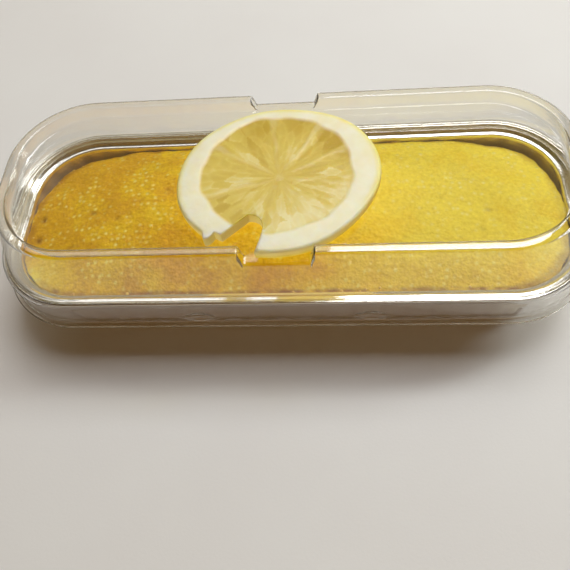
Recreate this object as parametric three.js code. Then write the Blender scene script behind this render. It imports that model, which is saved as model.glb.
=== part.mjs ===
// Lemon loaf cake in a long fluted foil tin, shut by a clear dome lid with a bitten lemon slice on top.
// Millimetres, +Z up. X runs along the loaf, +Y is its back, and the origin is under its middle.
import * as THREE from "three";

// Sizes of the foil tin.
const rimLength = 190;
const rimWidth = 72;
const rimCorner = 26.3;
const tinHeight = 28.5;
const foil = 0.35;
const bead = 1.5;
const beadSteps = 4;
const flange = 3.4;
const flangeSink = 0.3;
const stepDrop = 2.6;
const stepRun = 1.0;
const ledge = 0.8;
const wallTaper = 4.6;
const floorRadius = 2.2;
const fluteCount = 56;
const fluteDepth = 1.0;
const fluteShareAtFoot = 0.8;
const fluteShareAtFloor = 0.3;
const stepsPerFlute = 3;

// Sizes of the clear lid. Its heights are counted from the tin's rim.
const plastic = 0.4;
const topLength = 179.4;
const topWidth = 64.2;
const topCorner = 26.2;
const lidRise = 20.8;
const lipWidth = 3.6;
const lipHeight = 4.3;
const lipGap = 18.8;
const lipEdge = 1.0;
const lipRound = 0.7;
const lipDraft = 0.1;
const wallFoot = 1.0;
const skirtOut = 0.85;
const skirtDrop = 10.5;
const lidFlange = 1.5;
const shoulderRadius = 0.6;
const lipEndRun = 1.4;
const lipEndSteps = [0, 0.18, 0.5, 1];
const lipFillet = 0.65;
const cornerSteps = 8;
const snapPlace = 27;
const snapHalf = 5;
const snapSteps = [-1, -0.6, 0, 0.6, 1];
const snapDepth = 0.8;
const snapDrop = 7.4;
const snapUpper = 2.0;
const snapLower = 1.6;

// Sizes of the cake.
const crumbGap = 0.3;
const cakeEdgeDrop = 3.4;
const cakeShoulder = 1.6;
const shoulderBreak = 0.55;
const cakeDome = 6.2;
const domeFlatness = 2.6;
const cornerShrink = 2.2;
const cornerSink = 2.4;
const cornerStart = 1.0;
const cornerFull = 1.55;
const cakeAround = 88;
const topScales = [1, 0.95, 0.88, 0.78, 0.66, 0.53, 0.4, 0.27, 0.14];

// Waves in the cake's top: height, length along the loaf, length across it, and start in turns.
const crumbWaves = [
  { height: 0.32, along: 84, across: 150, start: 0.1 },
  { height: 0.26, along: -61, across: 74, start: 0.55 },
  { height: 0.22, along: 33, across: -38, start: 0.0 },
  { height: 0.18, along: 42, across: 27, start: 0.3 },
];

// Sizes of the lemon slice.
const sliceLong = 31.2;
const sliceShort = 27.4;
const sliceTurn = 0.395;
const sliceCentre = new THREE.Vector2(-0.7, -2.6);
const sliceThickness = 4.2;
const sliceBevel = 0.5;
const sliceArcSteps = 72;
const biteStart = -2.36;
const biteEnd = -1.76;
const tornPith = new THREE.Vector2(-21.2, -26.2);
const nickLeft = new THREE.Vector2(-19.0, -25.0);
const nickTop = new THREE.Vector2(-18.2, -23.7);
const nickRight = new THREE.Vector2(-16.2, -24.8);
const biteLeftBend = new THREE.Vector2(-12.6, -21.4);
const biteApex = new THREE.Vector2(-8.6, -17.8);
const biteRightBend = new THREE.Vector2(-4.6, -17.9);
const biteHollow = new THREE.Vector2(-4.0, -22.6);

const touch = 0.3;
const rimZ = tinHeight;
const lidFloorZ = rimZ + lidRise - lipHeight;

// A station is a place round a rounded rectangle that keeps its name from ring to ring:
// a point on a long side, a point on a short end, or an angle round a corner.
function sideStation(x, sign) {
  return { kind: "side", x, sign };
}

function endStation(y, sign) {
  return { kind: "end", y, sign };
}

function cornerStation(angle) {
  return { kind: "corner", angle };
}

// The point and the outward direction of a station on a plan of { length, width, corner }.
function stationPoint(station, plan) {
  if (station.kind === "side") {
    return { x: station.x, y: (station.sign * plan.width) / 2, nx: 0, ny: station.sign };
  }
  if (station.kind === "end") {
    return { x: (station.sign * plan.length) / 2, y: station.y, nx: station.sign, ny: 0 };
  }
  const nx = Math.cos(station.angle);
  const ny = Math.sin(station.angle);
  return {
    x: Math.sign(nx) * (plan.length / 2 - plan.corner) + plan.corner * nx,
    y: Math.sign(ny) * (plan.width / 2 - plan.corner) + plan.corner * ny,
    nx,
    ny,
  };
}

function insetPlan(plan, inset) {
  return {
    length: plan.length - 2 * inset,
    width: plan.width - 2 * inset,
    corner: plan.corner - inset,
  };
}

// Stations at equal steps along a plan's outline, anticlockwise from the middle of the front side.
function evenStations(plan, count) {
  const halfX = plan.length / 2 - plan.corner;
  const halfY = plan.width / 2 - plan.corner;
  const arc = (plan.corner * Math.PI) / 2;
  const runs = [
    [halfX, (s) => sideStation(s, -1)],
    [arc, (s) => cornerStation(-Math.PI / 2 + s / plan.corner)],
    [2 * halfY, (s) => endStation(s - halfY, 1)],
    [arc, (s) => cornerStation(s / plan.corner)],
    [2 * halfX, (s) => sideStation(halfX - s, 1)],
    [arc, (s) => cornerStation(Math.PI / 2 + s / plan.corner)],
    [2 * halfY, (s) => endStation(halfY - s, -1)],
    [arc, (s) => cornerStation(Math.PI + s / plan.corner)],
    [halfX, (s) => sideStation(s - halfX, -1)],
  ];
  const total = runs.reduce((sum, run) => sum + run[0], 0);
  const stations = [];
  for (let i = 0; i < count; i += 1) {
    let s = ((i + 0.5) / count) * total;
    let k = 0;
    while (s > runs[k][0] && k < runs.length - 1) {
      s -= runs[k][0];
      k += 1;
    }
    stations.push(runs[k][1](s));
  }
  return stations;
}

// A closed body from rings of [x, y, z] with equal counts, listed from the middle of its underside
// outwards and on to the middle of its upper side. A flat fan shuts each end.
function loft(rings) {
  const count = rings[0].length;
  const positions = rings.flat(2);
  const addCentre = (ring) => {
    const sum = ring.reduce((s, p) => [s[0] + p[0], s[1] + p[1], s[2] + p[2]], [0, 0, 0]);
    positions.push(sum[0] / count, sum[1] / count, sum[2] / count);
    return positions.length / 3 - 1;
  };
  const firstCentre = addCentre(rings[0]);
  const lastCentre = addCentre(rings[rings.length - 1]);
  const lastRing = (rings.length - 1) * count;
  const index = [];
  for (let j = 0; j < count; j += 1) {
    const k = (j + 1) % count;
    index.push(firstCentre, k, j);
    index.push(lastCentre, lastRing + j, lastRing + k);
    for (let i = 0; i < rings.length - 1; i += 1) {
      const low = i * count;
      const high = low + count;
      index.push(low + j, low + k, high + k);
      index.push(low + j, high + k, high + j);
    }
  }
  const geometry = new THREE.BufferGeometry();
  geometry.setAttribute("position", new THREE.Float32BufferAttribute(positions, 3));
  geometry.setIndex(index);
  geometry.computeVertexNormals();
  return geometry;
}

function part(name, geometry, colour, roughness, metalness, extra = {}) {
  const material = new THREE.MeshStandardMaterial({ color: colour, roughness, metalness, ...extra });
  const mesh = new THREE.Mesh(geometry, material);
  mesh.name = name;
  return mesh;
}

const rimPlan = { length: rimLength, width: rimWidth, corner: rimCorner };
const wallTopInset = flange + stepRun + ledge;
const wallTopZ = rimZ - stepDrop - foil;

// How far in from the rim the inside of the tin's wall is at a height, at the middle of a flute.
function wallInset(z) {
  const share = (wallTopZ - z) / (wallTopZ - floorRadius);
  return wallTopInset + wallTaper * Math.min(Math.max(share, 0), 1);
}

// The tin: flat floor, fluted sloping wall, a small ledge and step, a flat flange and a rolled bead.
function foilTin() {
  const wallPlan = insetPlan(rimPlan, wallTopInset);
  const stations = evenStations(wallPlan, fluteCount * stepsPerFlute);
  const ring = (inset, z, flute = 0) => {
    const plan = insetPlan(rimPlan, inset);
    return stations.map((station, i) => {
      const p = stationPoint(station, plan);
      const wave = (flute * fluteDepth * Math.cos((2 * Math.PI * i) / stepsPerFlute)) / 2;
      return [p.x + p.nx * wave, p.y + p.ny * wave, z];
    });
  };
  const flangeTop = rimZ - flangeSink;
  const stepInset = flange + stepRun;
  const footInset = wallInset(floorRadius);
  // The bead is rolled outwards, from its lowest point round to its highest.
  const beadRings = [];
  for (let i = 0; i <= beadSteps; i += 1) {
    const turn = (Math.PI * i) / beadSteps;
    const rise = (-bead / 2) * Math.cos(turn);
    beadRings.push(ring((bead / 2) * (1 - Math.sin(turn)), rimZ - bead / 2 + rise));
  }
  return loft([
    ring(footInset + floorRadius, 0, fluteShareAtFloor),
    ring(footInset - foil, floorRadius, fluteShareAtFoot),
    ring(wallTopInset - foil, wallTopZ - ledge, 1),
    ring(stepInset - foil, wallTopZ),
    ring(flange - foil, flangeTop - foil),
    ring(bead, flangeTop - foil),
    ...beadRings,
    ring(bead, flangeTop),
    ring(flange, flangeTop),
    ring(stepInset, rimZ - stepDrop),
    ring(wallTopInset, wallTopZ - ledge, 1),
    ring(footInset, floorRadius + foil, fluteShareAtFoot),
    ring(footInset + floorRadius, foil, fluteShareAtFloor),
  ]);
}

// How much of the lip stands at a place along the loaf: none in the gap at the middle, with round ends.
function lipShare(x) {
  const past = Math.abs(x) - lipGap / 2;
  const t = Math.min(Math.max(past / lipEndRun, 0), 1);
  return Math.sqrt(1 - (1 - t) * (1 - t));
}

// How deep the snap dents in the skirt's long sides are, from 0 to 1.
function snapShare(station) {
  if (station.kind !== "side") {
    return 0;
  }
  const t = (Math.abs(station.x) - snapPlace) / snapHalf;
  return Math.max(0, 1 - t * t);
}

function lidStations() {
  const gapHalf = lipGap / 2;
  const near = lipEndSteps.map((t) => gapHalf + t * lipEndRun);
  const snaps = snapSteps.map((t) => snapPlace + t * snapHalf);
  const right = [...near, ...snaps];
  const front = [...right.map((x) => -x).reverse(), ...right];
  const inside = 1e-6;
  const corner = (start) => {
    const list = [];
    for (let i = 0; i <= cornerSteps; i += 1) {
      const turn = (Math.PI / 2 - 2 * inside) * (i / cornerSteps) + inside;
      list.push(cornerStation(start + turn));
    }
    return list;
  };
  return [
    ...front.map((x) => sideStation(x, -1)),
    ...corner(-Math.PI / 2),
    ...corner(0),
    ...front.map((x) => sideStation(-x, 1)),
    ...corner(Math.PI / 2),
    ...corner(Math.PI),
  ];
}

// The lid: one thermoformed sheet with a sunk top, a hollow stacking lip in two halves, a sloping wall,
// a shoulder on the tin's bead, a skirt with snap dents and a small flange.
function clearLid() {
  const stations = lidStations();
  const topPlan = { length: topLength, width: topWidth, corner: topCorner };
  const footPlan = insetPlan(rimPlan, wallFoot);
  const skirtPlan = insetPlan(rimPlan, -skirtOut);
  const lowZ = rimZ - skirtDrop;
  const underZ = rimZ + touch;
  const shoulderZ = underZ + plastic;
  const footZ = shoulderZ + shoulderRadius;
  const topZ = rimZ + lidRise;
  const snapZ = rimZ - snapDrop;
  const low = lipFillet;
  const high = lipHeight - lipFillet;
  // The plan of the wall's outside at a height, on its slope from the shoulder up to the lip.
  const wallPlan = (z) => {
    const t = (z - footZ) / (topZ - footZ);
    return {
      length: THREE.MathUtils.lerp(footPlan.length, topPlan.length, t),
      width: THREE.MathUtils.lerp(footPlan.width, topPlan.width, t),
      corner: THREE.MathUtils.lerp(footPlan.corner, topPlan.corner, t),
    };
  };
  const ring = (plan, inset, z, dent = 0) =>
    stations.map((station) => {
      const p = stationPoint(station, insetPlan(plan, inset + dent * snapDepth * snapShare(station)));
      return [p.x, p.y, z];
    });
  // A ring of the lip, whose height over the sunk top falls to nothing in the gaps.
  const lipRing = (inset, rise, sheet) =>
    stations.map((station) => {
      const stands = station.kind === "side" ? lipShare(station.x) : 1;
      const plan = wallPlan(lidFloorZ + stands * lipHeight);
      const p = stationPoint(station, insetPlan(plan, inset));
      return [p.x, p.y, lidFloorZ - sheet + stands * rise];
    });
  // The wall's upper end, which keeps its round edge in the gaps too.
  const wallTopRing = (inset, sheet) =>
    lipRing(inset, lipHeight, sheet).map(([x, y, z]) => [x, y, z - lipEdge]);
  const inner = [
    lipRing(lipWidth - plastic + lipRound, 0, plastic),
    lipRing(lipWidth - plastic, low, plastic),
    lipRing(lipWidth - plastic - lipDraft, high, plastic),
    lipRing(lipWidth - plastic - lipRound, lipHeight, plastic),
    lipRing(plastic + lipRound, lipHeight, plastic),
    wallTopRing(plastic, plastic),
    ring(footPlan, plastic, underZ + shoulderRadius),
    ring(footPlan, 0, underZ),
    ring(skirtPlan, plastic + touch, underZ),
    ring(skirtPlan, plastic, rimZ - touch),
    ring(skirtPlan, plastic, snapZ + snapUpper),
    ring(skirtPlan, plastic, snapZ, 1),
    ring(skirtPlan, plastic, snapZ - snapLower),
    ring(skirtPlan, plastic, lowZ),
  ];
  const outer = [
    ring(skirtPlan, -lidFlange, lowZ),
    ring(skirtPlan, -lidFlange, lowZ + plastic),
    ring(skirtPlan, 0, lowZ + plastic),
    ring(skirtPlan, 0, snapZ - snapLower),
    ring(skirtPlan, 0, snapZ, 1),
    ring(skirtPlan, 0, snapZ + snapUpper),
    ring(skirtPlan, 0, shoulderZ - shoulderRadius),
    ring(skirtPlan, shoulderRadius, shoulderZ),
    ring(footPlan, -plastic, shoulderZ),
    ring(footPlan, 0, footZ),
    wallTopRing(0, 0),
    lipRing(lipEdge - lipRound, lipHeight - lipEdge + lipRound, 0),
    lipRing(lipEdge, lipHeight, 0),
    lipRing(lipWidth - lipRound, lipHeight, 0),
    lipRing(lipWidth - lipDraft, high, 0),
    lipRing(lipWidth, low, 0),
    lipRing(lipWidth + lipRound, 0, 0),
  ];
  return loft([...inner, ...outer]);
}

// The cake's gentle unevenness, in millimetres up or down.
function crumbRelief(x, y) {
  let relief = 0;
  for (const wave of crumbWaves) {
    relief += wave.height * Math.sin(2 * Math.PI * (x / wave.along + y / wave.across + wave.start));
  }
  return relief;
}

// How far the cake has shrunk from the tin at a place, from 0 to 1: most at its two back corners.
function backCorner(p) {
  const alongX = Math.abs(p.x) / (rimLength / 2);
  const alongY = p.y / (rimWidth / 2);
  return THREE.MathUtils.smoothstep(alongX + alongY, cornerStart, cornerFull);
}

// The cake: solid, with the tin's slope on its sides, a soft shoulder and a low uneven dome.
function loafCake() {
  const sidePlan = insetPlan(rimPlan, wallTopInset);
  const stations = evenStations(sidePlan, cakeAround);
  const footZ = foil + touch;
  const clear = crumbGap + fluteDepth / 2;
  const edgeZ = rimZ - cakeEdgeDrop;
  const sideRing = (z, inset = 0) =>
    stations.map((station) => {
      const plan = insetPlan(rimPlan, wallInset(z) + clear + inset);
      const p = stationPoint(station, plan);
      const shrink = cornerShrink * backCorner(p);
      const high = (z - footZ) / (edgeZ - footZ);
      const sink = cornerSink * backCorner(p) * high;
      return [p.x - p.nx * shrink * high, p.y - p.ny * shrink * high, z - sink];
    });
  const edge = sideRing(edgeZ, cakeShoulder);
  const topRing = (scale) =>
    edge.map(([x, y, z]) => {
      const rise = cakeDome * (1 - scale ** domeFlatness);
      const relief = crumbRelief(x * scale, y * scale) * (1 - scale ** 6);
      const level = edgeZ + (z - edgeZ) * scale ** 4;
      return [x * scale, y * scale, level + rise + relief];
    });
  return loft([
    sideRing(footZ, floorRadius),
    sideRing(footZ + floorRadius),
    sideRing(edgeZ - cakeShoulder),
    sideRing(edgeZ - shoulderBreak, shoulderBreak),
    ...topScales.map(topRing),
  ]);
}

// The slice's outline, an oval with its long axis turned, at an angle round its centre.
function slicePoint(angle) {
  const u = sliceLong * Math.cos(angle - sliceTurn);
  const v = sliceShort * Math.sin(angle - sliceTurn);
  const turned = new THREE.Vector2(u, v).rotateAround(new THREE.Vector2(), sliceTurn);
  return turned.add(sliceCentre);
}

// The slice: a flat round of lemon with a ragged bite out of its front left.
function lemonSlice() {
  const shape = new THREE.Shape();
  const sweep = biteStart + 2 * Math.PI - biteEnd;
  for (let i = 0; i <= sliceArcSteps; i += 1) {
    const p = slicePoint(biteEnd + (sweep * i) / sliceArcSteps);
    if (i === 0) {
      shape.moveTo(p.x, p.y);
    } else {
      shape.lineTo(p.x, p.y);
    }
  }
  // The bite's edge: torn pith with a small nick, in to a round hollow, and out along the other pith.
  for (const p of [tornPith, nickLeft, nickTop, nickRight]) {
    shape.lineTo(p.x, p.y);
  }
  shape.quadraticCurveTo(biteLeftBend.x, biteLeftBend.y, biteApex.x, biteApex.y);
  shape.quadraticCurveTo(biteRightBend.x, biteRightBend.y, biteHollow.x, biteHollow.y);
  shape.closePath();
  const geometry = new THREE.ExtrudeGeometry(shape, {
    depth: sliceThickness - 2 * sliceBevel,
    bevelThickness: sliceBevel,
    bevelSize: sliceBevel,
    bevelOffset: -sliceBevel,
    bevelSegments: 1,
    curveSegments: 6,
  });
  geometry.translate(0, 0, lidFloorZ + touch + sliceBevel);
  return geometry;
}

const loaf = new THREE.Group();
loaf.add(part("foil_tin", foilTin(), 0xc9c7c2, 0.28, 1));
loaf.add(part("loaf_cake", loafCake(), 0xcda02c, 0.75, 0));
loaf.add(part("clear_lid", clearLid(), 0xf2efe8, 0.05, 0, { transparent: true, opacity: 0.25 }));
loaf.add(part("lemon_slice", lemonSlice(), 0xe8dc8c, 0.4, 0));

export default loaf;
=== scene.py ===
# %% [markdown]
# # A lemon loaf cake in a lidded foil tin
# The loaf was baked in a long pressed foil tin. A clear lid of formed sheet is pressed over the tin's
# rolled rim, and a bitten slice of lemon lies on the lid. The solids of the frame already have the right
# sizes and places. Each piece below is a finer copy of one of them, so the work here is surface: foil,
# crumb, clear sheet and fruit.

import math

import bmesh
import bpy
import numpy as np
from mathutils import Matrix, Vector, noise
from mathutils.geometry import delaunay_2d_cdt


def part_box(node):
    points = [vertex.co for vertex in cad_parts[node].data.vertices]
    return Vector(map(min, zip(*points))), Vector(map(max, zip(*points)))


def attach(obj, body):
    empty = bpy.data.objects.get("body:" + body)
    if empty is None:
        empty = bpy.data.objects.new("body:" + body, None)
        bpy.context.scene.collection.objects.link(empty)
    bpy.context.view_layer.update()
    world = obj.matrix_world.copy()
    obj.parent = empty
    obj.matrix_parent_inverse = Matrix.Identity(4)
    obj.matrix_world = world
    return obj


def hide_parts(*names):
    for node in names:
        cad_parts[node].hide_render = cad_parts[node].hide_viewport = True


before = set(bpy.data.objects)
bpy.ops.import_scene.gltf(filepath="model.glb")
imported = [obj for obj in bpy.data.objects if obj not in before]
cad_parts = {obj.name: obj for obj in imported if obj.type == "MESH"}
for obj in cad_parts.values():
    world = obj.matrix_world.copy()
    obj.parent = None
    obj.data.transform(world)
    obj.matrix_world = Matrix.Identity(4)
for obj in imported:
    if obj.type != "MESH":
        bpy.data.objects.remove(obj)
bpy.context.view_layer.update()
scene = bpy.context.scene
MM = 0.001


def box_mm(name):
    """A node's lowest and highest corner in millimetres."""
    low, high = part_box(name)
    return np.array(low) / MM, np.array(high) / MM


tin_low, tin_high = box_mm("foil_tin")
lid_low = box_mm("clear_lid")[0]
slice_top = box_mm("lemon_slice")[1][2]
rim_length, rim_width, rim_z = tin_high[0] - tin_low[0], tin_high[1] - tin_low[1], tin_high[2]
rim_corner = 26.3
print("rim", rim_length, "by", rim_width, "mm at height", rim_z, "mm")

# %% [markdown]
# ## The camera
# The picture was taken by hand, from above the loaf's front and a little to its right, with the camera
# slightly tilted. Those four facts are enough for a camera: where it stands, how far it turns, how steeply
# it looks down, and its roll. The three axes are built by hand here, because a Track To constraint can't
# hold a roll.

# %% Camera
picture_pixels = 570
focal_pixels = 640.5
camera_from_rim = (21.2, -130.8, 168.6)
camera_turn, camera_steepness, camera_roll = (math.radians(a) for a in (11.42, 58.50, -10.63))

level = math.cos(camera_steepness)
back = Vector((math.sin(camera_turn) * level, -math.cos(camera_turn) * level, math.sin(camera_steepness)))
right = Vector((math.cos(camera_turn), math.sin(camera_turn), 0))
tilt = Matrix.Rotation(camera_roll, 3, "Z")
axes = Matrix((right, back.cross(right), back)).transposed() @ tilt
camera = bpy.data.objects.new("camera", bpy.data.cameras.new("camera"))
camera.data.lens = camera.data.sensor_width * focal_pixels / picture_pixels
camera.data.clip_start = 10 * MM
camera_place = Vector(camera_from_rim) * MM + Vector((0, 0, rim_z * MM))
camera.matrix_world = Matrix.Translation(camera_place) @ axes.to_4x4()
scene.collection.objects.link(camera)
scene.camera = camera
print("lens", round(camera.data.lens, 1), "mm on a", camera.data.sensor_width, "mm sensor")

# %% [markdown]
# ## Colours and nodes
# Colours are given as the eye names them, in sRGB hex, and Blender's shaders work in linear light, so one
# function turns the first into the second. A second function adds any node: it sets the node's own
# settings, and fills each input with a value or with a link, whichever it is given. In a
# Mix node of colours, input 0 is the share, and inputs 6 and 7 are the two colours.


# %% Helpers for materials
def colour(code):
    """An sRGB hex colour as linear red, green, blue and alpha."""
    parts = [int(code[i : i + 2], 16) / 255 for i in (1, 3, 5)]
    return [p / 12.92 if p <= 0.04045 else ((p + 0.055) / 1.055) ** 2.4 for p in parts] + [1.0]


def node(tree, kind, inputs=None, stops=(), **settings):
    """Add a node with its settings and colour stops, and set or link its named or numbered inputs."""
    made = tree.nodes.new(kind)
    for _ in stops[2:]:
        made.color_ramp.elements.new(0.5)
    for k, (place, code) in enumerate(stops):
        made.color_ramp.elements[k].position = place
        made.color_ramp.elements[k].color = colour(code)
    for name, value in settings.items():
        setattr(made, name, value)
    for key, value in (inputs or {}).items():
        socket = made.inputs[key]
        if isinstance(value, bpy.types.NodeSocket):
            tree.links.new(value, socket)
        else:
            socket.default_value = value
    return made


def material(name):
    """An empty material: its tree, and the socket that its shader goes to."""
    made = bpy.data.materials.new(name)
    made.use_nodes = True
    made.node_tree.nodes.clear()
    output = node(made.node_tree, "ShaderNodeOutputMaterial")
    return made, made.node_tree, output.inputs["Surface"]


# %% [markdown]
# ## The floor and the light
# The loaf stands on pale cotton. Its shadow and what the foil mirrors tell the light. The shadow is darkest
# under the lid's flange and fades out in front over twenty millimetres, and the rim mirrors one level white
# panel, so a broad panel hangs above and behind the loaf. The cake is paler on its right, so a stronger
# window stands far to that side. Four dim panels stand for light thrown back by ceiling and walls. Sun or
# point lamps would make hard edges that are not there, so each one is a rectangle a metre up. The world is
# a brown room that is lighter in front and behind than beside the loaf, for the foil to mirror.

# %% Floor and light
cotton, tree, surface = material("pale_cotton")
place = node(tree, "ShaderNodeTexCoord").outputs["Object"]
mottle = node(tree, "ShaderNodeTexNoise", {"Vector": place, "Scale": 1 / (60 * MM), "Detail": 3.0})
weave = node(tree, "ShaderNodeTexNoise", {"Vector": place, "Scale": 1 / (0.9 * MM), "Detail": 2.0})
nap = node(tree, "ShaderNodeBump", {"Strength": 0.15, "Distance": 0.2 * MM, "Height": weave.outputs[0]})
white = node(
    tree, "ShaderNodeValToRGB", {"Fac": mottle.outputs[0]}, stops=[(0.3, "#E8E6E3"), (0.7, "#EBEAE7")]
)
cloth = node(
    tree,
    "ShaderNodeBsdfPrincipled",
    {"Base Color": white.outputs["Color"], "Roughness": 0.9, "Normal": nap.outputs[0]},
)
tree.links.new(cloth.outputs[0], surface)

floor_half, floor_gap = 1.5, 0.1 * MM
floor_mesh = bpy.data.meshes.new("floor")
corners = [(x * floor_half, y * floor_half, -floor_gap) for x, y in ((-1, -1), (1, -1), (1, 1), (-1, 1))]
floor_mesh.from_pydata(corners, [], [(0, 1, 2, 3)])
floor_mesh.materials.append(cotton)
floor = bpy.data.objects.new("floor", floor_mesh)
scene.collection.objects.link(floor)


def light_panel(name, x_range, y_range, power, code):
    """A rectangle of light that faces down, one metre up, over a range along and a range across the loaf."""
    lamp = bpy.data.lights.new(name, "AREA")
    lamp.shape = "RECTANGLE"
    lamp.size, lamp.size_y = x_range[1] - x_range[0], y_range[1] - y_range[0]
    lamp.energy, lamp.color = power, colour(code)[:3]
    made = bpy.data.objects.new(name, lamp)
    made.location = (sum(x_range) / 2, sum(y_range) / 2, 1.0)
    scene.collection.objects.link(made)
    return made


light_panel("ceiling_panel", (-0.02, 0.46), (0.04, 0.61), 6.2, "#FCFDFF")
light_panel("side_window", (0.75, 1.4), (0.42, 0.66), 12.8, "#F6FDFE")
light_panel("ceiling_glow", (-0.72, -0.02), (0.38, 0.61), 0.85, "#F4F8FF")
light_panel("left_wall", (-1.15, -0.76), (0.55, 0.95), 0.3, "#FFF8EC")
light_panel("front_top", (-0.4, 0.5), (-0.36, 0.04), 0.12, "#FFD09A")
light_panel("front_glow", (-0.1, 0.5), (-1.6, -0.5), 0.06, "#FFE6C0")
scene.world = bpy.data.worlds.new("dim_room")
scene.world.use_nodes = True
tree = scene.world.node_tree
way = node(tree, "ShaderNodeTexCoord").outputs["Generated"]
deep = node(tree, "ShaderNodeSeparateXYZ", {0: way}).outputs["Y"]
front_to_back = node(tree, "ShaderNodeMapRange", {"Value": deep, "From Min": -1.0})
room = node(
    tree,
    "ShaderNodeValToRGB",
    {"Fac": front_to_back.outputs[0]},
    stops=[(0.0, "#A88350"), (0.2, "#553715"), (0.38, "#241404"), (0.62, "#362409"), (0.82, "#9B8B62")],
)
tree.links.new(room.outputs["Color"], tree.nodes["Background"].inputs["Color"])
scene.view_settings.view_transform = "Standard"
print("a panel, a window, four dim panels and a brown room")

# %% [markdown]
# ## Rings round a rounded rectangle
# The tin, the lid and the loaf all have the same plan: a long rectangle with large round corners. A place
# on that plan is kept as a share along the inner rectangle and an outward direction. Any ring, wider or
# narrower, then comes from the same places, so rings can be stacked into a skin without a twist.


# %% Helpers for rings and meshes
def places_round(length, width, corner, steps):
    """Places at distances along a rounded rectangle, anticlockwise from the middle of its front:
    shares of the inner rectangle's half sides, and outward directions."""
    half = np.array([length / 2 - corner, width / 2 - corner])
    arc = corner * math.pi / 2
    runs = [half[0], arc, 2 * half[1], arc, 2 * half[0], arc, 2 * half[1], arc, half[0]]
    ends = np.cumsum(runs)
    run = np.minimum(np.searchsorted(ends, steps), 8)
    along = steps - (ends - runs)[run]
    shares, out = np.zeros((len(steps), 2)), np.zeros((len(steps), 2))
    for k, turn in ((1, -90), (3, 0), (5, 90), (7, 180)):
        here = run == k
        angle = np.radians(turn) + along[here] / corner
        out[here] = np.stack([np.cos(angle), np.sin(angle)], 1)
        shares[here] = np.sign([math.cos(math.radians(turn + 45)), math.sin(math.radians(turn + 45))])
    for k, start, way, side in ((0, 0, 1, -1), (4, 1, -1, 1), (8, -1, 1, -1)):
        here = run == k
        shares[here] = np.stack([start + way * along[here] / half[0], np.full(here.sum(), side)], 1)
        out[here] = (0, side)
    for k, way in ((2, 1), (6, -1)):
        here = run == k
        shares[here] = np.stack([np.full(here.sum(), way), way * (along[here] / half[1] - 1)], 1)
        out[here] = (way, 0)
    return shares, out, ends[-1]


def ring(shares, out, plan, inset, z):
    """The points of a ring on a plan of (length, width, corner), moved in by an inset."""
    length, width, corner = plan
    half = np.array([length / 2 - corner, width / 2 - corner])
    flat = shares * half + out * (corner - np.reshape(inset, (-1, 1)))
    return np.column_stack([flat, np.broadcast_to(z, len(flat))])


def loft(rings, shut_first=True, shut_last=True):
    """Points and faces of a skin over equal rings, with its ends shut by fans to their middles."""
    count = len(rings[0])
    points = list(np.concatenate(rings))
    faces = []
    for i in range(len(rings) - 1):
        for j in range(count):
            k = (j + 1) % count
            faces.append((i * count + j, i * count + k, (i + 1) * count + k, (i + 1) * count + j))
    for shut, first, order in ((shut_first, 0, -1), (shut_last, (len(rings) - 1) * count, 1)):
        if shut:
            points.append(np.mean(points[first : first + count], axis=0))
            for j in range(count):
                pair = (first + j, first + (j + 1) % count)[::order]
                faces.append((len(points) - 1, *pair))
    return np.array(points), faces


def build(name, points, faces, *materials):
    """A smooth mesh object from points in millimetres."""
    mesh = bpy.data.meshes.new(name)
    mesh.from_pydata(np.asarray(points) * MM, [], faces)
    mesh.polygons.foreach_set("use_smooth", [True] * len(mesh.polygons))
    for made in materials:
        mesh.materials.append(made)
    made = bpy.data.objects.new(name, mesh)
    scene.collection.objects.link(made)
    return made


def triangles(piece):
    """How many triangles a piece has."""
    piece.data.calc_loop_triangles()
    return len(piece.data.loop_triangles)


def smoothstep(x, low, high):
    """0 below a low value, 1 above a high one, and a soft rise between them."""
    t = np.clip((x - low) / (high - low), 0, 1)
    return t * t * (3 - 2 * t)


rim_plan = (rim_length, rim_width, rim_corner)
rim_round = places_round(*rim_plan, np.zeros(1))[2]
print("the rim is", round(rim_round), "mm round")

# %% [markdown]
# ## Aluminium foil
# Bakery tins are pressed from bright rolled aluminium about a tenth of a millimetre thick. The rolls leave
# very fine lines along the sheet, and the press leaves small creases where the foil had to gather. Baking
# leaves a thin brown film of butter and sugar on the inside wall, which is no metal, so the metallic value
# falls where the film is. Here the film's colour is a pale gold: partly that film, and partly a painted
# reflection of the lit cake that the wall would mirror. Handling leaves the outside duller, and its warm
# beige tint is a painted reflection of the floor and its warm shadow in front. To the eye that is a soft
# mirror inside the rim, a golden wall below it and a silvery outside. Two numbers on the profile say where
# each look belongs: one for the film with its painted reflection, one for the duller outside with its
# painted warmth. A metal keeps the default IOR.

# %% Foil material
rolled_foil, tree, surface = material("pressed_aluminium_foil")
place = node(tree, "ShaderNodeTexCoord").outputs["Object"]
film_and_reflection = node(tree, "ShaderNodeAttribute", attribute_name="film_and_reflection").outputs["Fac"]
crease = node(tree, "ShaderNodeTexVoronoi", {"Vector": place, "Scale": 1 / (2.6 * MM)}, feature="SMOOTH_F1")
grain = node(tree, "ShaderNodeTexNoise", {"Vector": place, "Scale": 1 / (0.7 * MM), "Detail": 3.0})
patch = node(tree, "ShaderNodeTexNoise", {"Vector": place, "Scale": 1 / (9 * MM), "Detail": 3.0})
film_patchiness = node(tree, "ShaderNodeMath", {0: patch.outputs[0], 1: 0.35}, operation="ADD")
film_and_reflection_share = node(tree, "ShaderNodeMath", {0: film_and_reflection, 1: film_patchiness.outputs[0]}, operation="MULTIPLY", use_clamp=True)
bright = node(
    tree, "ShaderNodeValToRGB", {"Fac": grain.outputs[0]}, stops=[(0.2, "#E6E4E0"), (0.8, "#F1EFEB")]
).outputs["Color"]
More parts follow.
